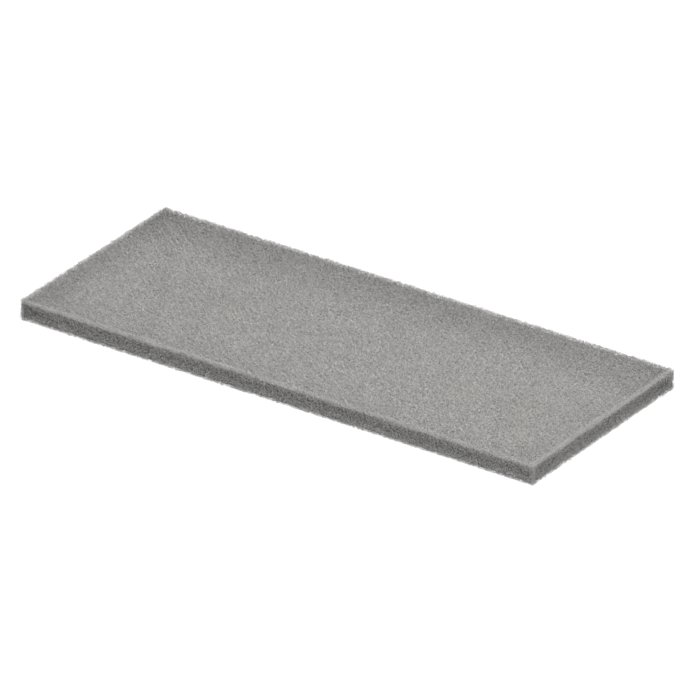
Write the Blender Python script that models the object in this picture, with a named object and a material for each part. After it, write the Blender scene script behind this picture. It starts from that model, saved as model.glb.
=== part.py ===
"""Flat foam air filter pad: a rectangular slab of open-cell polyurethane foam, cut on all sides.

The pad lies flat on its underside. The origin is at the centre of the underside, +X runs along the
length, +Y across the width and +Z up through the thickness. Lengths are in metres.
"""

import math

import bmesh
import bpy

# Overall size of the pad
PAD_LENGTH = 0.200
PAD_WIDTH = 0.080
PAD_THICKNESS = 0.007

# Upright corners, where the cutting blade turns from one side to the next
CORNER_RADIUS = 0.0008
CORNER_STEPS = 6

# Soft lip all round the top face and the underside, where the cut cells give way
EDGE_RADIUS = 0.0005
EDGE_STEPS = 4

# Grey polyurethane foam, matt, as linear colour
FOAM_COLOUR = (0.337, 0.332, 0.323, 1.0)
FOAM_ROUGHNESS = 0.95

# Edges that meet at a steeper angle than this are drawn sharp
SHARP_ANGLE = math.radians(40.0)


def clear_scene():
    """Remove every object from the scene."""
    for item in list(bpy.data.objects):
        bpy.data.objects.remove(item, do_unlink=True)


def foam_material():
    """Return the pad's own material, a matt grey that doesn't shine."""
    material = bpy.data.materials.new("grey_open_cell_foam")
    material.use_nodes = True
    shader = material.node_tree.nodes["Principled BSDF"]
    shader.inputs["Base Color"].default_value = FOAM_COLOUR
    shader.inputs["Roughness"].default_value = FOAM_ROUGHNESS
    shader.inputs["Metallic"].default_value = 0.0
    return material


def is_upright(edge):
    """Say whether an edge runs straight up through the thickness."""
    low, high = edge.verts
    return abs(high.co.z - low.co.z) > 0.5 * PAD_THICKNESS


def is_rim(edge):
    """Say whether an edge lies between a flat face and the cut sides."""
    leanings = [abs(face.normal.z) for face in edge.link_faces]
    return max(leanings) > 0.5 and min(leanings) < 0.5


def round_edges(pad, edges, radius, steps):
    """Round the given edges of the pad's mesh to a radius, in a number of steps."""
    bmesh.ops.bevel(
        pad,
        geom=edges,
        offset=radius,
        offset_type="OFFSET",
        segments=steps,
        profile=0.5,
        affect="EDGES",
        clamp_overlap=True,
    )


def pad_mesh():
    """Return the slab: a block cut to size, with round upright corners and a soft lip top and bottom."""
    pad = bmesh.new()
    corners = bmesh.ops.create_cube(pad, size=1.0)["verts"]
    bmesh.ops.scale(pad, vec=(PAD_LENGTH, PAD_WIDTH, PAD_THICKNESS), verts=corners)
    bmesh.ops.translate(pad, vec=(0.0, 0.0, PAD_THICKNESS / 2), verts=corners)

    round_edges(pad, [edge for edge in pad.edges if is_upright(edge)], CORNER_RADIUS, CORNER_STEPS)
    pad.normal_update()
    round_edges(pad, [edge for edge in pad.edges if is_rim(edge)], EDGE_RADIUS, EDGE_STEPS)
    bmesh.ops.recalc_face_normals(pad, faces=pad.faces)

    mesh = bpy.data.meshes.new("foam_pad")
    pad.to_mesh(mesh)
    pad.free()
    mesh.shade_smooth()
    mesh.set_sharp_from_angle(angle=SHARP_ANGLE)
    return mesh


def main():
    """Build the pad as one named object with its material."""
    clear_scene()
    foam_pad = bpy.data.objects.new("foam_pad", pad_mesh())
    foam_pad.data.materials.append(foam_material())
    bpy.context.scene.collection.objects.link(foam_pad)


main()
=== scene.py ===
"""Looks of the flat foam air filter pad: open cells over a dense core, soft light and the camera.

The pad is reticulated polyurethane foam. Its cells are modelled as what they are, a net of thin struts
that is cut off flat at the pad's faces, so the edges let light through as the real foam does.
"""

import logging
import math
from collections.abc import Sequence
from dataclasses import dataclass
from enum import Enum

import bpy
from mathutils import Euler, Matrix, Vector


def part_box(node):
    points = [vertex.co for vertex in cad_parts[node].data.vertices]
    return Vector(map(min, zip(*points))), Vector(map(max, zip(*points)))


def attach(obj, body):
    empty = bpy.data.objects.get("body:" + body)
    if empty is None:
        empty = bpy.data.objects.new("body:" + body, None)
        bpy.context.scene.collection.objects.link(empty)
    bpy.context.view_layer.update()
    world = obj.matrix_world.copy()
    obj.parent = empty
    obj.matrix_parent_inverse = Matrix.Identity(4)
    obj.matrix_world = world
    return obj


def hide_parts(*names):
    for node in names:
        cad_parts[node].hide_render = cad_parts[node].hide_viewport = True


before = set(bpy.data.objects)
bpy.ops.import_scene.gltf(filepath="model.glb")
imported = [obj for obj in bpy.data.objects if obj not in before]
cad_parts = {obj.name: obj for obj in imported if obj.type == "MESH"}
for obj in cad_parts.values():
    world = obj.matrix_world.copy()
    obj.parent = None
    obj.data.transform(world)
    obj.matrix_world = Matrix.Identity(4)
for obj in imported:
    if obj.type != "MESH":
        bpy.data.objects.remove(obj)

MM = 0.001
PAD_NODE = "foam_pad"
PAD_BODY = "root"
BAKE_MAP = "OFBake"
FLAT_PLACE = "flat_place"
MATH = "ShaderNodeMath"
VECTOR_MATH = "ShaderNodeVectorMath"

log = logging.getLogger("foam_pad")

Tree = bpy.types.NodeTree
Socket = bpy.types.NodeSocket
NodeInput = float | int | str | tuple | Vector | Socket | bpy.types.ID


def linear(hex_colour: str) -> tuple[float, float, float, float]:
    """Turn an sRGB hex colour into a linear colour.

    Args:
        hex_colour: six hex digits after a hash sign.

    Returns:
        Red, green and blue in linear light, and an alpha of 1.
    """
    levels = [int(hex_colour[i : i + 2], 16) / 255 for i in (1, 3, 5)]
    light = [v / 12.92 if v <= 0.04045 else ((v + 0.055) / 1.055) ** 2.4 for v in levels]
    return (light[0], light[1], light[2], 1.0)


def add_node(
    tree: Tree, kind: str, inputs: dict[str | int, NodeInput] | None = None, **settings: object
) -> bpy.types.Node:
    """Add a node to a tree, with its settings and links.

    Args:
        tree: the shader or geometry tree.
        kind: Blender's name for the type of node.
        inputs: what goes into each input, by name or place: a value, or a socket to link.
        **settings: the node's own properties.

    Returns:
        The new node.
    """
    node = tree.nodes.new(kind)
    for name, value in settings.items():
        setattr(node, name, value)
    for name, value in (inputs or {}).items():
        if isinstance(value, Socket):
            tree.links.new(value, node.inputs[name])
        else:
            node.inputs[name].default_value = value
    return node


def new_material(name: str) -> tuple[bpy.types.Material, Tree]:
    """Make an empty node material.

    Args:
        name: the material's name.

    Returns:
        The material and its node tree, with nothing in it.
    """
    material = bpy.data.materials.new(name)
    material.use_nodes = True
    material.node_tree.nodes.clear()
    return material, material.node_tree


def link_object(name: str, mesh: bpy.types.Mesh) -> bpy.types.Object:
    """Put a mesh into the scene as an object at the origin.

    Args:
        name: the object's name.
        mesh: its mesh, already in place.

    Returns:
        The new object.
    """
    thing = bpy.data.objects.new(name, mesh)
    bpy.context.scene.collection.objects.link(thing)
    return thing


class Gauge(Enum):
    """Types of a geometry tree's inputs."""

    LENGTH = "NodeSocketFloat"
    COUNT = "NodeSocketInt"
    PLACE = "NodeSocketVector"
    FINISH = "NodeSocketMaterial"


class Side(Enum):
    """Sides of the pad: the axis that each one faces, and whether it is at the upper end of it."""

    LEFT = (0, False)
    RIGHT = (0, True)
    FRONT = (1, False)
    BACK = (1, True)


class GrownMesh:
    """A mesh grown by a geometry tree with named inputs."""

    def __init__(self, name: str, inputs: dict[Gauge, tuple[str, ...]]) -> None:
        """Start a tree.

        Args:
            name: the tree's name.
            inputs: the names of the inputs of each type.
        """
        self.tree = bpy.data.node_groups.new(name, "GeometryNodeTree")
        face = self.tree.interface
        face.new_socket("Geometry", in_out="OUTPUT", socket_type="NodeSocketGeometry")
        self.keys = {
            label: face.new_socket(label, in_out="INPUT", socket_type=gauge.value).identifier
            for gauge, labels in inputs.items()
            for label in labels
        }
        self.given = add_node(self.tree, "NodeGroupInput").outputs

    def close(self, geometry: Socket) -> None:
        """End the tree in real faces with their finish.

        Args:
            geometry: the socket that carries the finished shape.
        """
        real = add_node(self.tree, "GeometryNodeRealizeInstances", {"Geometry": geometry})
        dressed = add_node(
            self.tree,
            "GeometryNodeSetMaterial",
            {"Geometry": real.outputs[0], "Material": self.given["Finish"]},
        )
        add_node(self.tree, "NodeGroupOutput", {"Geometry": dressed.outputs[0]})

    def grow(self, name: str, values: dict[str, NodeInput]) -> bpy.types.Object:
        """Grow one plain mesh from the tree.

        Args:
            name: the name of the piece.
            values: a value for each of the tree's named inputs.

        Returns:
            The piece, with no modifier left on it.
        """
        seed = link_object(name, bpy.data.meshes.new(name + "_seed"))
        modifier = seed.modifiers.new(self.tree.name, "NODES")
        modifier.node_group = self.tree
        for label, value in values.items():
            modifier[self.keys[label]] = value
        view = bpy.context.evaluated_depsgraph_get()
        mesh = bpy.data.meshes.new_from_object(seed.evaluated_get(view), depsgraph=view)
        seed.modifiers.remove(modifier)
        seed.data = mesh
        mesh.name = name
        return seed


@dataclass(frozen=True)
class FoamFinish:
    """Reticulated polyurethane foam, cut from a block: matt grey struts over darker open cells, with
    painted shade towards the sides and a painted highlight on the cut edges.
    """

    name: str = "reticulated_polyurethane_foam_cut"
    strut: str = "#D8D7D5"
    # Painted shade: the core is a darker grey than the struts, for the light that is lost between the
    # struts of the cells further in.
    core: str = "#9C9B99"
    roughness: float = 0.6
    ior: float = 1.5
    noise_low: float = 0.3
    noise_high: float = 0.7
    grain_mm: float = 0.65
    grain_detail: float = 1.0
    strut_grain: float = 0.26
    core_grain: float = 0.4
    blotch_mm: float = 9.0
    blotch_detail: float = 2.0
    blotch: float = 0.04
    # Painted highlight: the cut edges are painted lighter, for the light that gets in there from two
    # sides.
    painted_rim_across_mm: float = 1.5
    painted_rim_down_mm: float = 3.5
    strut_painted_rim_light: float = 0.11
    core_painted_rim_light: float = 0.75
    # Painted shade: the foam is painted darker towards its sides, most at the back and the left end.
    back_band_mm: float = 28.0
    back_painted_shade: float = 0.2
    left_band_mm: float = 16.0
    left_painted_shade: float = 0.18
    near_band_mm: float = 14.0
    near_painted_shade: float = 0.06

    def band(self, tree: Tree, inward: Socket, width: float, start: float, end: float) -> Socket:
        """Add a node that fades from one value at a face to another further in.

        Args:
            tree: the shader tree.
            inward: the distance from the face.
            width: how far in the fade ends, in millimetres.
            start: the value at the face.
            end: the value further in.

        Returns:
            The faded value.
        """
        fade = add_node(
            tree,
            "ShaderNodeMapRange",
            {0: inward, 1: 0.0, 2: width * MM, 3: start, 4: end},
            interpolation_type="SMOOTHSTEP",
        )
        return fade.outputs[0]

    def join(self, tree: Tree, values: Sequence[Socket], operation: str) -> Socket:
        """Add the nodes that run several values through one sum after another.

        Args:
            tree: the shader tree.
            values: the values, two or more.
            operation: what is done with each pair.

        Returns:
            The last result.
        """
        result = values[0]
        for value in values[1:]:
            result = add_node(tree, MATH, {0: result, 1: value}, operation=operation).outputs[0]
        return result

    def speckle(self, tree: Tree, length_mm: float, detail: float, spread: float) -> Socket:
        """Add a noise that makes some places lighter and others darker.

        Args:
            tree: the shader tree.
            length_mm: the size of the spots, in millimetres.
            detail: how many finer noises go into it.
            spread: how much lighter or darker the spots are.

        Returns:
            The tone, about 1.
        """
        unfolded = add_node(tree, "ShaderNodeAttribute", attribute_name=FLAT_PLACE).outputs["Vector"]
        noise = add_node(
            tree,
            "ShaderNodeTexNoise",
            {"Vector": unfolded, "Scale": 1 / (length_mm * MM), "Detail": detail},
        )
        limits = {1: self.noise_low, 2: self.noise_high, 3: 1.0 - spread, 4: 1.0 + spread}
        tone = add_node(tree, "ShaderNodeMapRange", {0: noise.outputs["Fac"], **limits})
        return tone.outputs[0]

    def cut_edges(self, tree: Tree, inward: Socket) -> Socket:
        """Add the nodes that find the edges between the pad's faces.

        Args:
            tree: the shader tree.
            inward: the distance from the nearest face, along each axis.

        Returns:
            One on an edge, and zero away from it.
        """
        far = add_node(tree, "ShaderNodeSeparateXYZ", {0: inward}).outputs
        near_end = self.band(tree, far[0], self.painted_rim_across_mm, 1.0, 0.0)
        near_side = self.band(tree, far[1], self.painted_rim_across_mm, 1.0, 0.0)
        near_face = self.band(tree, far[2], self.painted_rim_down_mm, 1.0, 0.0)
        pairs = ((near_end, near_face), (near_side, near_face), (near_end, near_side))
        return self.join(tree, [self.join(tree, pair, "MULTIPLY") for pair in pairs], "MAXIMUM")

    def painted_shade_bands(self, tree: Tree, above: Socket, below: Socket) -> Socket:
        """Add the nodes that paint shade on the foam towards its ends and sides.

        Args:
            tree: the shader tree.
            above: the distance from the lowest corner, along each axis.
            below: the distance from the highest corner, along each axis.

        Returns:
            The tone, 1 in the middle of the pad.
        """
        # Painted shade: the top face gets darker towards all four sides, most at the back and the left
        # end.
        from_low = add_node(tree, "ShaderNodeSeparateXYZ", {0: above}).outputs
        from_high = add_node(tree, "ShaderNodeSeparateXYZ", {0: below}).outputs
        sides = (
            (from_low[0], self.left_band_mm, self.left_painted_shade),
            (from_high[0], self.near_band_mm, self.near_painted_shade),
            (from_low[1], self.near_band_mm, self.near_painted_shade),
            (from_high[1], self.back_band_mm, self.back_painted_shade),
        )
        bands = [self.band(tree, inward, width, 1.0 - dull, 1.0) for inward, width, dull in sides]
        return self.join(tree, bands, "MULTIPLY")

    def grey(self, tree: Tree, box: tuple[Vector, Vector], base: str, grain: float, rim: float) -> Socket:
        """Add the nodes that tint the foam from place to place, with painted shade towards its sides and
        a painted highlight along its cut edges.

        Args:
            tree: the shader tree.
            box: lowest and highest corner of the pad.
            base: the colour as sRGB hex.
            grain: how much single cells differ.
            rim: how much lighter the cut edges are painted, a painted highlight for the light that gets
                in from two sides.

        Returns:
            The colour.
        """
        low, high = box
        place = add_node(tree, "ShaderNodeTexCoord").outputs["Object"]
        above = add_node(tree, VECTOR_MATH, {0: place, 1: low}, operation="SUBTRACT").outputs[0]
        below = add_node(tree, VECTOR_MATH, {0: high, 1: place}, operation="SUBTRACT").outputs[0]
        inward = add_node(tree, VECTOR_MATH, {0: above, 1: below}, operation="MINIMUM").outputs[0]
        edge = self.cut_edges(tree, inward)
        # Painted highlight: lighter along the cut edges.
        lit = add_node(tree, "ShaderNodeMapRange", {0: edge, 3: 1.0, 4: 1.0 + rim}).outputs[0]
        # Painted shade towards the sides, taken off again at the cut edges.
        bands = self.painted_shade_bands(tree, above, below)
        painted_shade_tone = add_node(tree, "ShaderNodeMapRange", {0: edge, 3: bands, 4: 1.0}).outputs[0]
        speck = self.speckle(tree, self.grain_mm, self.grain_detail, grain)
        blotch = self.speckle(tree, self.blotch_mm, self.blotch_detail, self.blotch)
        tone = self.join(tree, [lit, painted_shade_tone, speck, blotch], "MULTIPLY")
        colour = add_node(tree, VECTOR_MATH, {0: linear(base)[:3], "Scale": tone}, operation="SCALE")
        return colour.outputs[0]

    def strut_material(self, box: tuple[Vector, Vector]) -> bpy.types.Material:
        """Make the finish of the struts.

        Args:
            box: lowest and highest corner of the pad.

        Returns:
            A light grey with a dull sheen, which differs from cell to cell.
        """
        # Polyurethane skin on each strut: it scatters most of the light and keeps a dull sheen, so the
        # struts stand out light against the cells behind them.
        material, tree = new_material(self.name + "_struts")
        colour = self.grey(tree, box, self.strut, self.strut_grain, self.strut_painted_rim_light)
        shader = add_node(
            tree,
            "ShaderNodeBsdfPrincipled",
            {"Base Color": colour, "Roughness": self.roughness, "IOR": self.ior},
        )
        add_node(tree, "ShaderNodeOutputMaterial", {"Surface": shader.outputs[0]})
        return material

    def core_material(self, box: tuple[Vector, Vector]) -> bpy.types.Material:
        """Make the finish of the dense core, seen through the open cells.

        Args:
            box: lowest and highest corner of the pad.

        Returns:
            A darker grey without sheen, as deep cells show.
        """
        # Cells further in: light is lost between their struts, so they show as a darker grey without
        # any sheen, with some cells darker than others.
        material, tree = new_material(self.name + "_core")
        colour = self.grey(tree, box, self.core, self.core_grain, self.core_painted_rim_light)
        shader = add_node(
            tree,
            "ShaderNodeBsdfPrincipled",
            {"Base Color": colour, "Roughness": 1.0, "Specular IOR Level": 0.0},
        )
        add_node(tree, "ShaderNodeOutputMaterial", {"Surface": shader.outputs[0]})
        return material


@dataclass
class FoamPad:
    """The pad: a net of struts over all its faces, round a core that stands for the cells further in.

    The real foam has cells of about 0.7 mm. Those of the net are drawn coarser, because finer ones don't
    show at the camera's distance and would take millions of faces. The fuzz at the edges and the grain in
    the finish have the real size.
    """

    low: Vector
    high: Vector
    finish: FoamFinish
    # Net of struts, cut off a little outside the faces
    slices: int = 10
    cell: float = 1.25 * MM
    lattice_turn: tuple[float, float, float] = (0.58, 0.37, 0.30)
    margin_cells: float = 1.5
    strut_radius: float = 0.085 * MM
    fringe_side: float = 0.28 * MM
    fringe_top: float = 0.34 * MM
    fringe_thin: float = 0.4
    cut_fade: float = 0.42 * MM
    cut_round: float = 0.9 * MM
    # Drift of the cells, and roughness of the cut
    warp: float = 1.5 * MM
    warp_length: float = 9.0 * MM
    jitter_cells: float = 1.36
    jitter_length_cells: float = 1.2
    rough: float = 0.6 * MM
    rough_length: float = 1.1 * MM
    # Fuzz of torn cells along the edges
    fuzz: float = 0.7 * MM
    fuzz_side: float = 0.6 * MM
    fuzz_top: float = 0.4 * MM
    fuzz_cell: float = 0.7 * MM
    fuzz_radius: float = 0.045 * MM
    fuzz_depth: float = 1.6 * MM
    fuzz_start: float = 0.1 * MM
    fuzz_fade: float = 0.75 * MM
    knot: float = 0.01 * MM
    # Core, a little inside the faces
    shell_top: float = 0.28 * MM
    shell_side: float = 0.1 * MM
    shell_bottom: float = 0.05 * MM
    core_round: float = 0.7 * MM
    core_step: float = 0.62 * MM
    overlap: float = 0.1 * MM
    pit: float = 0.5 * MM
    pit_floor: float = 0.2
    pit_rim: float = 0.75
    # Room to spare, in cells, and the seeds of what is left to chance
    buried_cells: float = 1.5
    spare_cells: int = 2
    map_slack_cells: float = 2.0
    cut_seed: int = 11
    proud_seed: int = 7

    @property
    def size(self) -> Vector:
        """Length, width and thickness of the pad."""
        return self.high - self.low

    @property
    def middle(self) -> Vector:
        """Centre of the pad."""
        return (self.low + self.high) / 2

    @property
    def core_low(self) -> Vector:
        """Lowest corner of the core's box."""
        return self.low + Vector((self.shell_side, self.shell_side, self.shell_bottom))

    @property
    def core_high(self) -> Vector:
        """Highest corner of the core's box."""
        return self.high - Vector((self.shell_side, self.shell_side, self.shell_top))

    @property
    def core_middle(self) -> Vector:
        """Centre of the core."""
        return (self.core_low + self.core_high) / 2

    @property
    def heart(self) -> Vector:
        """Half the size of the box that the core is rounded about."""
        inset = Vector((self.core_round, self.core_round, self.core_round))
        return (self.core_high - self.core_low) / 2 - inset

    def past_box(self, grown: GrownMesh, place: Socket, middle: NodeInput, heart: NodeInput) -> Socket:
        """Add the nodes that measure how far a place lies past a box, along each axis.

        Args:
            grown: the tree.
            place: the place to measure.
            middle: the centre of the box.
            heart: half the size of the box.

        Returns:
            The three distances as a vector, below zero inside the box.
        """
        tree = grown.tree
        local = add_node(tree, VECTOR_MATH, {0: place, 1: middle}, operation="SUBTRACT")
        folded = add_node(tree, VECTOR_MATH, {0: local.outputs[0]}, operation="ABSOLUTE")
        past = add_node(tree, VECTOR_MATH, {0: folded.outputs[0], 1: heart}, operation="SUBTRACT")
        return past.outputs[0]

    def depth_in(self, grown: GrownMesh, place: Socket, middle: NodeInput, heart: NodeInput) -> Socket:
        """Add the nodes that measure how far a place lies from a box.

        Args:
            grown: the tree.
            place: the place to measure.
            middle: the centre of the box.
            heart: half the size of the box.

        Returns:
            The distance from the box, zero inside it.
        """
        tree = grown.tree
        past = self.past_box(grown, place, middle, heart)
        kept = add_node(tree, VECTOR_MATH, {0: past, 1: (0, 0, 0)}, operation="MAXIMUM")
        far = add_node(tree, VECTOR_MATH, {0: kept.outputs[0]}, operation="LENGTH")
        return far.outputs["Value"]

    def edge_in(self, grown: GrownMesh, place: Socket, middle: NodeInput, heart: NodeInput) -> Socket:
        """Add the nodes that measure how near a place lies to the edges of a box.

        Args:
            grown: the tree.
            place: the place to measure.
            middle: the centre of the box.
            heart: half the size of the box.

        Returns:
            The second largest of the distances past the box, above zero only at its edges.
        """
        tree = grown.tree
        past = self.past_box(grown, place, middle, heart)
        across = add_node(tree, "ShaderNodeSeparateXYZ", {0: past}).outputs
        pairs = [
            add_node(tree, MATH, {0: across[i], 1: across[j]}, operation="MINIMUM").outputs[0]
            for i, j in ((0, 1), (1, 2), (0, 2))
        ]
        most = add_node(tree, MATH, {0: pairs[0], 1: pairs[1]}, operation="MAXIMUM").outputs[0]
        return add_node(tree, MATH, {0: most, 1: pairs[2]}, operation="MAXIMUM").outputs[0]

    def beyond(self, grown: GrownMesh, place: Socket, low: Socket, high: Socket) -> Socket:
        """Add the nodes that tell whether a place lies outside a box.

        Args:
            grown: the tree.
            place: the place to test.
            low: the box's lowest corner.
            high: the box's highest corner.

        Returns:
            True outside the box.
        """
        tree = grown.tree
        held = add_node(tree, VECTOR_MATH, {0: place, 1: low}, operation="MAXIMUM")
        held = add_node(tree, VECTOR_MATH, {0: held.outputs[0], 1: high}, operation="MINIMUM")
        moved = add_node(tree, VECTOR_MATH, {0: held.outputs[0], 1: place}, operation="DISTANCE")
        outside = add_node(
            tree, "FunctionNodeCompare", {0: moved.outputs["Value"], 1: 0.0}, operation="GREATER_THAN"
        )
        return outside.outputs[0]

    def drift(self, grown: GrownMesh, length: NodeInput, reach: NodeInput) -> Socket:
        """Add the nodes that shift a place by smooth noise.

        Args:
            grown: the tree.
            length: the size of the noise's waves.
            reach: how far apart the extremes of the shift lie.

        Returns:
            The shift, as a vector.
        """
        tree = grown.tree
        place = add_node(tree, "GeometryNodeInputPosition").outputs[0]
        waves = add_node(tree, MATH, {0: 1.0, 1: length}, operation="DIVIDE").outputs[0]
        noise = add_node(tree, "ShaderNodeTexNoise", {"Vector": place, "Scale": waves, "Detail": 1.0})
        centred = add_node(
            tree, VECTOR_MATH, {0: noise.outputs["Color"], 1: (0.5, 0.5, 0.5)}, operation="SUBTRACT"
        )
        shift = add_node(tree, VECTOR_MATH, {0: centred.outputs[0], "Scale": reach}, operation="SCALE")
        return shift.outputs[0]

    def unfold(self, grown: GrownMesh, shape: Socket) -> Socket:
        """Add the nodes that lay the pad out flat for its patterns and its UV map.

        The top face keeps its place and the sides fold outwards round it, down to half the thickness.
        The lower half is laid out in the same way, and lies beside the upper one on the UV map.

        Args:
            grown: the tree.
            shape: the socket that carries the finished shape.

        Returns:
            The shape, with its flat place and its UV map.
        """
        tree, given = grown.tree, grown.given
        place = add_node(tree, "GeometryNodeInputPosition").outputs[0]
        local = add_node(
            tree, VECTOR_MATH, {0: place, 1: tuple(self.middle)}, operation="SUBTRACT"
        ).outputs[0]
        height = add_node(tree, "ShaderNodeSeparateXYZ", {0: local}).outputs[2]
        lift = add_node(tree, MATH, {0: height}, operation="ABSOLUTE").outputs[0]
        depth = add_node(tree, MATH, {0: self.size.z / 2, 1: lift}, operation="SUBTRACT").outputs[0]
        fold = add_node(
            tree,
            VECTOR_MATH,
            {0: (2 / self.size.x, 2 / self.size.y, 0.0), "Scale": depth},
            operation="SCALE",
        ).outputs[0]
        under = add_node(tree, MATH, {0: height, 1: 0.0}, operation="LESS_THAN").outputs[0]
        level = add_node(tree, MATH, {0: under, 1: self.size.y}, operation="MULTIPLY").outputs[0]
        flat = add_node(
            tree, VECTOR_MATH, {0: local, 1: fold, 2: local}, operation="MULTIPLY_ADD"
        ).outputs[0]
        raised = add_node(tree, "ShaderNodeCombineXYZ", {"Z": level}).outputs[0]
        flattened = add_node(
            tree, VECTOR_MATH, {0: flat, 1: (1.0, 1.0, 0.0), 2: raised}, operation="MULTIPLY_ADD"
        ).outputs[0]
        known = add_node(
            tree,
            "GeometryNodeStoreNamedAttribute",
            {"Geometry": shape, "Name": FLAT_PLACE, "Value": flattened},
            data_type="FLOAT_VECTOR",
            domain="POINT",
        ).outputs[0]

        start = add_node(
            tree, VECTOR_MATH, {0: flat, 1: given["Map low"]}, operation="SUBTRACT"
        ).outputs[0]
        share = add_node(
            tree, VECTOR_MATH, {0: start, 1: given["Map size"]}, operation="DIVIDE"
        ).outputs[0]
        half_up = add_node(tree, MATH, {0: under, 1: 0.5}, operation="MULTIPLY").outputs[0]
        beside = add_node(tree, "ShaderNodeCombineXYZ", {"Y": half_up}).outputs[0]
        spot = add_node(
            tree, VECTOR_MATH, {0: share, 1: (1.0, 0.5, 0.0), 2: beside}, operation="MULTIPLY_ADD"
        ).outputs[0]
        mapped = add_node(
            tree,
            "GeometryNodeStoreNamedAttribute",
            {"Geometry": known, "Name": BAKE_MAP, "Value": spot},
            data_type="FLOAT2",
            domain="CORNER",
        )
        return mapped.outputs[0]

    def map_box(self, start: float, end: float) -> tuple[Vector, Vector]:
        """Give the part of the flat layout that a piece takes up.

        Args:
            start: where the piece starts along the pad.
            end: where it ends.

        Returns:
            The lowest corner and the size of its map.
        """
        slack = self.map_slack_cells * self.cell
        fold = self.size.z / 2
        swell = 1 + 2 * fold / self.size.x
        low_x = min(start, start * swell) - slack
        high_x = max(end, end * swell) + slack
        half_y = self.size.y / 2 + fold + slack
        return Vector((low_x, -half_y, 0.0)), Vector((high_x - low_x, 2 * half_y, 1.0))

    def drop_loose(self, grown: GrownMesh, net: Socket) -> Socket:
        """Add the nodes that take away struts which hang in the air.

        Args:
            grown: the tree.
            net: the socket that carries the cut net, as bare lines.

        Returns:
            The lines that are joined to the core, through others or on their own.
        """
        tree, given = grown.tree, grown.given
        place = add_node(tree, "GeometryNodeInputPosition").outputs[0]
        knotted = add_node(
            tree, "GeometryNodeMergeByDistance", {"Geometry": net, "Distance": self.knot}
        ).outputs[0]
        rooted = add_node(
            tree,
            "FunctionNodeCompare",
            {0: self.depth_in(grown, place, given["Middle"], given["Heart"]), 1: given["Core reach"]},
            operation="LESS_THAN",
        ).outputs[0]
        cluster = add_node(tree, "GeometryNodeInputMeshIsland").outputs["Island Index"]
        roots = add_node(
            tree, "GeometryNodeAccumulateField", {"Value": rooted, "Group ID": cluster}, data_type="FLOAT"
        ).outputs["Total"]
        nearest = add_node(
            tree, "GeometryNodeSampleNearest", {"Geometry": knotted, "Sample Position": place}
        ).outputs[0]
        held = add_node(
            tree,
            "GeometryNodeSampleIndex",
            {"Geometry": knotted, "Value": roots, "Index": nearest},
            data_type="FLOAT",
        ).outputs[0]
        loose = add_node(
            tree, "FunctionNodeCompare", {0: held, 1: 0.5}, operation="LESS_THAN"
        ).outputs[0]
        firm = add_node(
            tree,
            "GeometryNodeDeleteGeometry",
            {"Geometry": net, "Selection": loose},
            domain="EDGE",
            mode="EDGE_FACE",
        )
        return firm.outputs[0]

    def cell_centres(self, grown: GrownMesh) -> Socket:
        """Add the nodes that set out the centres of the cells.

        Args:
            grown: the tree.

        Returns:
            The centres, as a turned block of points.
        """
        # Square layers, half a cell apart, every other one shifted by half a cell.
        tree, given = grown.tree, grown.given
        cell = given["Cell"]
        half_cell = add_node(tree, MATH, {0: cell, 1: 0.5}, operation="MULTIPLY").outputs[0]
        length, width, height = [
            add_node(tree, MATH, {0: given[count], 1: cell}, operation="MULTIPLY").outputs[0]
            for count in ("Columns", "Rows", "Layers")
        ]
        layers = add_node(tree, MATH, {0: given["Layers"], 1: 2.0}, operation="MULTIPLY").outputs[0]
        down = add_node(tree, MATH, {0: height, 1: -0.5}, operation="MULTIPLY").outputs[0]
        start = add_node(tree, "ShaderNodeCombineXYZ", {"Z": down}).outputs[0]
        rise = add_node(tree, "ShaderNodeCombineXYZ", {"Z": half_cell}).outputs[0]
        tower = add_node(
            tree, "GeometryNodeMeshLine", {"Count": layers, "Start Location": start, "Offset": rise}
        ).outputs[0]
        index = add_node(tree, "GeometryNodeInputIndex").outputs[0]
        odd = add_node(tree, MATH, {0: index, 1: 2.0}, operation="MODULO").outputs[0]
        aside = add_node(tree, MATH, {0: odd, 1: half_cell}, operation="MULTIPLY").outputs[0]
        shift = add_node(tree, "ShaderNodeCombineXYZ", {"X": aside, "Y": aside}).outputs[0]
        stagger = add_node(
            tree, "GeometryNodeSetPosition", {"Geometry": tower, "Offset": shift}
        ).outputs[0]
        posts, ranks = [
            add_node(tree, MATH, {0: given[count], 1: 1.0}, operation="ADD").outputs[0]
            for count in ("Columns", "Rows")
        ]
        grid = add_node(
            tree,
            "GeometryNodeMeshGrid",
            {"Size X": length, "Size Y": width, "Vertices X": posts, "Vertices Y": ranks},
        ).outputs["Mesh"]
        stack = add_node(
            tree, "GeometryNodeInstanceOnPoints", {"Points": stagger, "Instance": grid}
        ).outputs[0]
        block = add_node(tree, "GeometryNodeRealizeInstances", {"Geometry": stack}).outputs[0]
        move = {"Translation": given["Lattice middle"], "Rotation": given["Lattice turn"]}
        return add_node(tree, "GeometryNodeTransform", {"Geometry": block, **move}).outputs[0]

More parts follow.
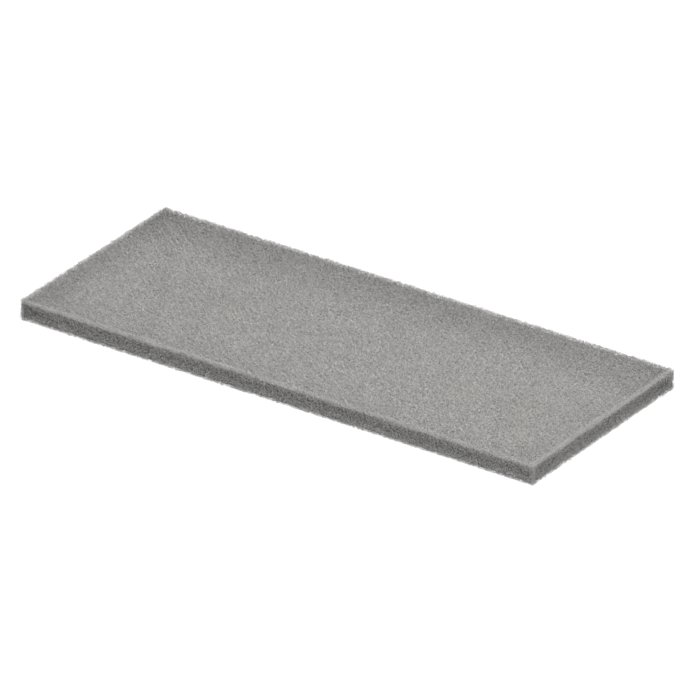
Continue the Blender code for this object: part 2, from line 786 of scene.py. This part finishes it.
    def near_cells(self, grown: GrownMesh, centres: Socket) -> Socket:
        """Add the nodes that leave out cells of other slices, and cells wholly inside the core.

        Args:
            grown: the tree.
            centres: the centres of all cells.

        Returns:
            The centres of the cells that this piece needs.
        """
        tree, given = grown.tree, grown.given
        place = add_node(tree, "GeometryNodeInputPosition").outputs[0]
        deep = add_node(
            tree,
            MATH,
            {0: given["Cell"], 1: -self.buried_cells, 2: given["Core reach"]},
            operation="MULTIPLY_ADD",
        ).outputs[0]
        from_core = self.depth_in(grown, place, given["Middle"], given["Heart"])
        buried = add_node(
            tree, "FunctionNodeCompare", {0: from_core, 1: deep}, operation="LESS_THAN"
        ).outputs[0]
        elsewhere = self.beyond(grown, place, given["Slice low"], given["Slice high"])
        useless = add_node(
            tree, "FunctionNodeBooleanMath", {0: buried, 1: elsewhere}, operation="OR"
        ).outputs[0]
        near = add_node(tree, "GeometryNodeDeleteGeometry", {"Geometry": centres, "Selection": useless})
        return near.outputs[0]

    def open_net(self, grown: GrownMesh, cells: Socket) -> Socket:
        """Add the nodes that draw the cells as a net of lines.

        Args:
            grown: the tree.
            cells: the centres of the cells.

        Returns:
            The net, regular and uncut.
        """
        # Each cell owns three of its square windows; their sides are all the struts of the net.
        tree, given = grown.tree, grown.given
        half_cell, quarter = [
            add_node(tree, MATH, {0: given["Cell"], 1: share}, operation="MULTIPLY").outputs[0]
            for share in (0.5, 0.25)
        ]
        window = add_node(tree, "GeometryNodeMeshCircle", {"Vertices": 4, "Radius": quarter}).outputs[0]
        quarter_turn = math.pi / 2
        turns = {"X": (0, quarter_turn, 0), "Y": (quarter_turn, 0, 0), "Z": (0, 0, 0)}
        windows = add_node(tree, "GeometryNodeJoinGeometry")
        for axis, turn in turns.items():
            out = add_node(tree, "ShaderNodeCombineXYZ", {axis: half_cell}).outputs[0]
            placed = add_node(
                tree, "GeometryNodeTransform", {"Geometry": window, "Translation": out, "Rotation": turn}
            )
            tree.links.new(placed.outputs[0], windows.inputs[0])
        net = add_node(
            tree,
            "GeometryNodeInstanceOnPoints",
            {"Points": cells, "Instance": windows.outputs[0], "Rotation": given["Lattice turn"]},
        ).outputs[0]
        return add_node(tree, "GeometryNodeRealizeInstances", {"Geometry": net}).outputs[0]

    def shake(self, grown: GrownMesh, net: Socket) -> Socket:
        """Add the nodes that make the net irregular, as foam is.

        Args:
            grown: the tree.
            net: the regular net.

        Returns:
            The net after a slow drift of whole cells and a shift of each corner by itself.
        """
        tree = grown.tree
        jitter_length, jitter = [
            add_node(tree, MATH, {0: grown.given["Cell"], 1: share}, operation="MULTIPLY").outputs[0]
            for share in (self.jitter_length_cells, self.jitter_cells)
        ]
        for length, reach in ((self.warp_length, self.warp), (jitter_length, jitter)):
            offset = self.drift(grown, length, reach)
            net = add_node(
                tree, "GeometryNodeSetPosition", {"Geometry": net, "Offset": offset}
            ).outputs[0]
        return net

    def cut_net(self, grown: GrownMesh, net: Socket) -> Socket:
        """Add the nodes that cut the net to the pad.

        Args:
            grown: the tree.
            net: the irregular net.

        Returns:
            The net without the struts beyond the faces or down in the core.
        """
        tree, given = grown.tree, grown.given
        place = add_node(tree, "GeometryNodeInputPosition").outputs[0]
        chance = add_node(
            tree,
            "FunctionNodeRandomValue",
            {0: (-1.0, -1.0, -1.0), 1: (1.0, 1.0, 1.0), "Seed": self.cut_seed},
            data_type="FLOAT_VECTOR",
        ).outputs[0]
        astray = add_node(
            tree, VECTOR_MATH, {0: chance, "Scale": given["Fade"]}, operation="SCALE"
        ).outputs[0]
        torn = place
        for shift in (self.drift(grown, self.rough_length, self.rough), astray):
            torn = add_node(tree, VECTOR_MATH, {0: torn, 1: shift}, operation="ADD").outputs[0]
        from_core = self.depth_in(grown, place, given["Middle"], given["Heart"])
        from_cut = self.depth_in(grown, torn, given["Cut middle"], given["Cut heart"])
        from_edge = self.edge_in(grown, place, tuple(self.middle), given["Edge heart"])
        limits = (
            (from_core, "Core reach", "LESS_THAN"),
            (from_cut, "Cut round", "GREATER_THAN"),
            (from_edge, "Edge past", "LESS_THAN"),
        )
        gone = self.beyond(grown, torn, given["Low"], given["High"])
        for measure, limit, operation in limits:
            reason = add_node(
                tree, "FunctionNodeCompare", {0: measure, 1: given[limit]}, operation=operation
            ).outputs[0]
            gone = add_node(
                tree, "FunctionNodeBooleanMath", {0: gone, 1: reason}, operation="OR"
            ).outputs[0]
        cut = add_node(
            tree,
            "GeometryNodeDeleteGeometry",
            {"Geometry": net, "Selection": gone},
            domain="EDGE",
            mode="EDGE_FACE",
        )
        return cut.outputs[0]

    def trim(self, grown: GrownMesh, net: Socket) -> Socket:
        """Add the nodes that end the struts which cross a face on it, or a little outside.

        Args:
            grown: the tree.
            net: the cut net.

        Returns:
            The net with its ends in place.
        """
        tree, given = grown.tree, grown.given
        place = add_node(tree, "GeometryNodeInputPosition").outputs[0]
        proud = add_node(
            tree, "FunctionNodeRandomValue", {"Seed": self.proud_seed}, data_type="FLOAT"
        ).outputs[1]
        stand = add_node(
            tree, VECTOR_MATH, {0: given["Fuzz"], "Scale": proud}, operation="SCALE"
        ).outputs[0]
        drop = add_node(
            tree, VECTOR_MATH, {0: stand, 1: (1.0, 1.0, 0.0)}, operation="MULTIPLY"
        ).outputs[0]
        ground = add_node(
            tree, VECTOR_MATH, {0: given["Low"], 1: drop}, operation="SUBTRACT"
        ).outputs[0]
        ceiling = add_node(tree, VECTOR_MATH, {0: given["High"], 1: stand}, operation="ADD").outputs[0]
        held = add_node(tree, VECTOR_MATH, {0: place, 1: ground}, operation="MAXIMUM").outputs[0]
        held = add_node(tree, VECTOR_MATH, {0: held, 1: ceiling}, operation="MINIMUM").outputs[0]
        return add_node(tree, "GeometryNodeSetPosition", {"Geometry": net, "Position": held}).outputs[0]

    def thicken(self, grown: GrownMesh, net: Socket) -> Socket:
        """Add the nodes that give the struts three sides, as foam has, and less girth further out.

        Args:
            grown: the tree.
            net: the finished net of lines.

        Returns:
            The struts, closed at both ends.
        """
        tree, given = grown.tree, grown.given
        lines = add_node(tree, "GeometryNodeMeshToCurve", {"Mesh": net}).outputs[0]
        place = add_node(tree, "GeometryNodeInputPosition").outputs[0]
        from_cut = self.depth_in(grown, place, given["Cut middle"], given["Cut heart"])
        proud = add_node(
            tree, MATH, {0: from_cut, 1: given["Cut round"]}, operation="SUBTRACT"
        ).outputs[0]
        girth = add_node(
            tree,
            "ShaderNodeMapRange",
            {0: proud, 1: -self.fuzz_fade, 2: self.fuzz_fade, 3: 1.0, 4: self.fringe_thin},
        ).outputs[0]
        lines = add_node(
            tree, "GeometryNodeSetCurveRadius", {"Curve": lines, "Radius": girth}
        ).outputs[0]
        profile = add_node(
            tree, "GeometryNodeCurvePrimitiveCircle", {"Resolution": 3, "Radius": given["Strut radius"]}
        ).outputs[0]
        struts = add_node(
            tree, "GeometryNodeCurveToMesh", {"Curve": lines, "Profile Curve": profile, "Fill Caps": True}
        ).outputs[0]
        return add_node(tree, "GeometryNodeSetShadeSmooth", {"Geometry": struts}).outputs[0]

    def strut_tree(self) -> GrownMesh:
        """Build the tree that grows the struts of one piece of a net.

        Returns:
            The tree, with its named inputs.
        """
        lattice = ("Lattice middle", "Lattice turn", "Slice low", "Slice high")
        boxes = ("Low", "High", "Middle", "Heart", "Cut middle", "Cut heart", "Edge heart", "Fuzz")
        grown = GrownMesh(
            "foam_struts",
            {
                Gauge.LENGTH: ("Cell", "Core reach", "Cut round", "Edge past", "Fade", "Strut radius"),
                Gauge.COUNT: ("Columns", "Rows", "Layers"),
                Gauge.PLACE: (*lattice, *boxes, "Map low", "Map size"),
                Gauge.FINISH: ("Finish",),
            },
        )
        net = self.open_net(grown, self.near_cells(grown, self.cell_centres(grown)))
        net = self.cut_net(grown, self.shake(grown, net))
        net = self.trim(grown, self.drop_loose(grown, net))
        grown.close(self.unfold(grown, self.thicken(grown, net)))
        return grown

    def net_values(self, finish: bpy.types.Material, side: float, top: float) -> dict[str, NodeInput]:
        """Give the inputs of the strut tree that all the pieces of one net share.

        Args:
            finish: the finish of the struts.
            side: how far the net stands out past the pad's sides.
            top: how far it stands out past the top face.

        Returns:
            The values by name.
        """
        # The net's upper edges are round. Downwards its box goes on past the floor, so that the lower
        # edges stay square.
        inset = Vector((self.cut_round, self.cut_round, self.cut_round))
        cut_low = self.low - Vector((side, side, 0.0))
        cut_high = self.high + Vector((side, side, top))
        cut_floor = cut_low - Vector((0.0, 0.0, self.size.z))
        return {
            "Low": cut_low,
            "High": cut_high,
            "Middle": self.core_middle,
            "Heart": self.heart,
            "Core reach": self.core_round - self.overlap,
            "Cut middle": (cut_floor + cut_high) / 2,
            "Cut heart": (cut_high - cut_floor) / 2 - inset,
            "Edge heart": self.size / 2 - inset,
            "Fuzz": (self.fuzz, self.fuzz, self.fuzz),
            "Finish": finish,
        }

    def build_struts(self, grown: GrownMesh, finish: bpy.types.Material) -> list[bpy.types.Object]:
        """Grow the net of struts, slice by slice along the pad.

        Args:
            grown: the strut tree.
            finish: the finish of the struts.

        Returns:
            One piece for each slice.
        """
        turn = Euler(self.lattice_turn)
        spin = turn.to_matrix()
        slice_length = self.size.x / self.slices
        margin = Vector((self.cell, self.cell, self.cell)) * self.margin_cells
        reach = Vector((slice_length, self.size.y, self.size.z)) / 2 + margin
        across = 2 * math.ceil(reach.length / self.cell) + self.spare_cells
        pieces = []
        for number in range(self.slices):
            low, high = self.low - margin, self.high + margin
            if number > 0:
                low.x = self.low.x + number * slice_length
            if number < self.slices - 1:
                high.x = self.low.x + (number + 1) * slice_length
            map_low, map_size = self.map_box(low.x, high.x)
            steps = spin.transposed() @ ((low + high) / 2) / self.cell
            whole = Vector([round(step) * self.cell for step in steps])
            piece = grown.grow(
                f"foam_cells_{number + 1:02d}",
                {
                    **self.net_values(finish, self.fringe_side, self.fringe_top),
                    "Cell": self.cell,
                    "Columns": across,
                    "Rows": across,
                    "Layers": across,
                    "Lattice middle": spin @ whole,
                    "Lattice turn": tuple(turn),
                    "Slice low": low,
                    "Slice high": high,
                    "Cut round": self.cut_round,
                    "Edge past": -self.size.length,
                    "Fade": self.cut_fade,
                    "Strut radius": self.strut_radius,
                    "Map low": map_low,
                    "Map size": map_size,
                },
            )
            pieces.append(piece)
        return pieces

    def build_fuzz(self, grown: GrownMesh, finish: bpy.types.Material) -> list[bpy.types.Object]:
        """Grow the fine fuzz of torn cells along the pad's edges, side by side.

        Args:
            grown: the strut tree.
            finish: the finish of the struts.

        Returns:
            One piece for each side.
        """
        # This radius reaches into the corner of the rounding, so the fuzz fills the edges square.
        square_round = self.cut_round * math.sqrt(2)
        margin = Vector((self.fuzz_cell, self.fuzz_cell, self.fuzz_cell)) * self.margin_cells
        map_low, map_size = self.map_box(self.low.x, self.high.x)
        pieces = []
        for side in Side:
            low, high = self.low - margin, self.high + margin
            axis, upper = side.value
            if upper:
                low[axis] = self.high[axis] - self.fuzz_depth
            else:
                high[axis] = self.low[axis] + self.fuzz_depth
            counts = [math.ceil(span / self.fuzz_cell) + self.spare_cells for span in high - low]
            piece = grown.grow(
                f"edge_fuzz_{side.name.lower()}",
                {
                    **self.net_values(finish, self.fuzz_side, self.fuzz_top),
                    "Cell": self.fuzz_cell,
                    "Columns": counts[0],
                    "Rows": counts[1],
                    "Layers": counts[2],
                    "Lattice middle": (low + high) / 2,
                    "Lattice turn": (0.0, 0.0, 0.0),
                    "Slice low": low,
                    "Slice high": high,
                    "Cut round": square_round,
                    "Edge past": self.fuzz_start,
                    "Fade": self.fuzz_fade,
                    "Strut radius": self.fuzz_radius,
                    "Map low": map_low,
                    "Map size": map_size,
                },
            )
            pieces.append(piece)
        return pieces

    def core_tree(self) -> GrownMesh:
        """Build the tree that grows the core.

        Returns:
            The tree, with its named inputs.
        """
        grown = GrownMesh(
            "foam_core",
            {
                Gauge.LENGTH: ("Round", "Cell", "Pit"),
                Gauge.COUNT: ("Columns", "Rows", "Layers"),
                Gauge.PLACE: ("Outer size", "Middle", "Heart", "Map low", "Map size"),
                Gauge.FINISH: ("Finish",),
            },
        )
        tree, given = grown.tree, grown.given
        block = add_node(
            tree,
            "GeometryNodeMeshCube",
            {
                "Size": given["Outer size"],
                "Vertices X": given["Columns"],
                "Vertices Y": given["Rows"],
                "Vertices Z": given["Layers"],
            },
        )
        place = add_node(tree, "GeometryNodeInputPosition").outputs[0]
        back = add_node(tree, VECTOR_MATH, {0: given["Heart"], "Scale": -1.0}, operation="SCALE")
        inner = add_node(tree, VECTOR_MATH, {0: place, 1: back.outputs[0]}, operation="MAXIMUM")
        inner = add_node(
            tree, VECTOR_MATH, {0: inner.outputs[0], 1: given["Heart"]}, operation="MINIMUM"
        )
        away = add_node(tree, VECTOR_MATH, {0: place, 1: inner.outputs[0]}, operation="SUBTRACT")
        heading = add_node(tree, VECTOR_MATH, {0: away.outputs[0]}, operation="NORMALIZE").outputs[0]
        cells = add_node(tree, MATH, {0: 1.0, 1: given["Cell"]}, operation="DIVIDE")
        pattern = add_node(
            tree, "ShaderNodeTexVoronoi", {"Vector": place, "Scale": cells.outputs[0]}, feature="F1"
        )
        limits = {1: self.pit_floor, 2: self.pit_rim, 3: -1.0, 4: 0.0}
        hollow = add_node(tree, "ShaderNodeMapRange", {0: pattern.outputs["Distance"], **limits})
        sunk = add_node(
            tree,
            MATH,
            {0: hollow.outputs[0], 1: given["Pit"], 2: given["Round"]},
            operation="MULTIPLY_ADD",
        )
        reach = add_node(tree, VECTOR_MATH, {0: heading, "Scale": sunk.outputs[0]}, operation="SCALE")
        rounded = add_node(
            tree, VECTOR_MATH, {0: inner.outputs[0], 1: reach.outputs[0]}, operation="ADD"
        )
        settled = add_node(
            tree, VECTOR_MATH, {0: rounded.outputs[0], 1: given["Middle"]}, operation="ADD"
        )
        pitted = add_node(
            tree,
            "GeometryNodeSetPosition",
            {"Geometry": block.outputs["Mesh"], "Position": settled.outputs[0]},
        )
        smooth = add_node(tree, "GeometryNodeSetShadeSmooth", {"Geometry": pitted.outputs[0]})
        grown.close(self.unfold(grown, smooth.outputs[0]))
        return grown

    def build_core(self) -> bpy.types.Object:
        """Grow the core, which stands for the cells further in.

        Returns:
            The core, a closed pitted body with round edges.
        """
        outer = self.core_high - self.core_low
        map_low, map_size = self.map_box(self.low.x, self.high.x)
        counts = [math.ceil(side / self.core_step) + 1 for side in outer]
        return self.core_tree().grow(
            "foam_core",
            {
                "Outer size": outer,
                "Columns": counts[0],
                "Rows": counts[1],
                "Layers": counts[2],
                "Middle": self.core_middle,
                "Heart": self.heart,
                "Round": self.core_round,
                "Cell": self.cell,
                "Pit": self.pit,
                "Map low": map_low,
                "Map size": map_size,
                "Finish": self.finish.core_material((self.low, self.high)),
            },
        )

    def build(self) -> list[bpy.types.Object]:
        """Build the pad, attach its pieces to the root body and hide the imported pad.

        Returns:
            All the pad's pieces.
        """
        grown = self.strut_tree()
        finish = self.finish.strut_material((self.low, self.high))
        pieces = [self.build_core(), *self.build_struts(grown, finish), *self.build_fuzz(grown, finish)]
        for piece in pieces:
            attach(piece, PAD_BODY)
            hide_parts(PAD_NODE)
        return pieces


@dataclass(frozen=True)
class PhotoCamera:
    """A long lens from far off, which sees the pad from its front right corner."""

    azimuth: float = math.radians(34.78)
    elevation: float = math.radians(27.61)
    distance: float = 4.8
    clip_distances: float = 4.0
    view_width: float = 0.22623
    aside: float = -1.43 * MM
    above: float = -1.3 * MM

    def build(self) -> bpy.types.Object:
        """Make the camera and give it to the scene.

        Returns:
            The camera.
        """
        flat = math.cos(self.elevation)
        back = Vector(
            (math.sin(self.azimuth) * flat, -math.cos(self.azimuth) * flat, math.sin(self.elevation))
        )
        right = Vector((math.cos(self.azimuth), math.sin(self.azimuth), 0.0))
        up = back.cross(right)
        lens = bpy.data.cameras.new("photo_camera")
        lens.lens = lens.sensor_width * self.distance / self.view_width
        lens.clip_end = self.clip_distances * self.distance
        camera = bpy.data.objects.new("photo_camera", lens)
        turn = Matrix((right, up, back)).transposed()
        place = back * self.distance - right * self.aside - up * self.above
        camera.matrix_world = Matrix.Translation(place) @ turn.to_4x4()
        bpy.context.scene.collection.objects.link(camera)
        bpy.context.scene.camera = camera
        return camera


@dataclass(frozen=True)
class SoftLight:
    """A square soft box that points at the pad."""

    name: str
    place: tuple[float, float, float]
    side: float
    power: float

    def build(self) -> bpy.types.Object:
        """Make the light.

        Returns:
            The light.
        """
        lamp = bpy.data.lights.new(self.name, "AREA")
        lamp.size = self.side
        lamp.energy = self.power
        light = bpy.data.objects.new(self.name, lamp)
        light.location = self.place
        light.rotation_mode = "QUATERNION"
        light.rotation_quaternion = Vector(self.place).to_track_quat("Z", "Y")
        bpy.context.scene.collection.objects.link(light)
        return light


@dataclass(frozen=True)
class Studio:
    """White floor and surroundings, with a large soft box above the pad's front."""

    floor_side: float = 8.0
    floor_gap: float = 0.1 * MM
    surround: float = 0.25
    floor_glow: float = 0.8
    floor_albedo: float = 0.4
    lights: tuple[SoftLight, ...] = (
        SoftLight("overhead_soft_box", place=(0.25, -0.20, 0.93), side=0.7, power=9.5),
    )

    def shown(self, tree: Tree) -> Socket:
        """Add the nodes that tell a look at the background from light on the pad.

        Args:
            tree: the shader tree of the floor or the world.

        Returns:
            One for a look by the camera, or in a reflection or through glass, and zero for light.
        """
        path = add_node(tree, "ShaderNodeLightPath").outputs
        seen = path["Is Camera Ray"]
        for other in ("Is Glossy Ray", "Is Transmission Ray"):
            both = add_node(tree, MATH, {0: seen, 1: path[other]}, operation="MAXIMUM")
            seen = both.outputs[0]
        return seen

    def build_world(self) -> None:
        """Light the scene evenly, and show white behind the pad."""
        world = bpy.data.worlds.new("white_studio")
        world.use_nodes = True
        tree = world.node_tree
        tree.nodes.clear()
        level = add_node(tree, "ShaderNodeMapRange", {0: self.shown(tree), 3: self.surround, 4: 1.0})
        sky = add_node(
            tree, "ShaderNodeBackground", {"Color": (1, 1, 1, 1), "Strength": level.outputs[0]}
        )
        add_node(tree, "ShaderNodeOutputWorld", {"Surface": sky.outputs[0]})
        bpy.context.scene.world = world

    def build_floor(self, height: float) -> bpy.types.Object:
        """Lay the floor.

        Args:
            height: the underside of the pad.

        Returns:
            The floor, which is no part of the object.
        """
        half = self.floor_side / 2
        corners = [(-half, -half), (half, -half), (half, half), (-half, half)]
        mesh = bpy.data.meshes.new("floor")
        mesh.from_pydata([(x, y, height - self.floor_gap) for x, y in corners], [], [(0, 1, 2, 3)])
        floor = link_object("floor", mesh)
        # Matt paper: even and without gloss, so the pad shows no mirror image on it.
        material, tree = new_material("white_paper_sweep")
        glow = add_node(tree, MATH, {0: self.shown(tree), 1: self.floor_glow}, operation="MULTIPLY")
        white = (self.floor_albedo, self.floor_albedo, self.floor_albedo, 1.0)
        shader = add_node(
            tree,
            "ShaderNodeBsdfPrincipled",
            {
                "Base Color": white,
                "Roughness": 1.0,
                "Specular IOR Level": 0.0,
                "Emission Color": (1, 1, 1, 1),
                "Emission Strength": glow.outputs[0],
            },
        )
        add_node(tree, "ShaderNodeOutputMaterial", {"Surface": shader.outputs[0]})
        mesh.materials.append(material)
        return floor

    def build(self, height: float) -> None:
        """Set up the floor, the surroundings and the lights.

        Args:
            height: the underside of the pad.
        """
        self.build_world()
        self.build_floor(height)
        for light in self.lights:
            light.build()
        bpy.context.scene.view_settings.view_transform = "Standard"


def main() -> None:
    """Build the camera, the studio and the pad, in that order."""
    logging.basicConfig(level=logging.INFO, format="%(message)s")
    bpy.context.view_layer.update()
    low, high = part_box(PAD_NODE)
    PhotoCamera().build()
    Studio().build(low.z)
    pad = FoamPad(low, high, FoamFinish())
    for piece in pad.build():
        log.info("%s: %d faces", piece.name, len(piece.data.polygons))


if __name__ == "__main__":
    main()
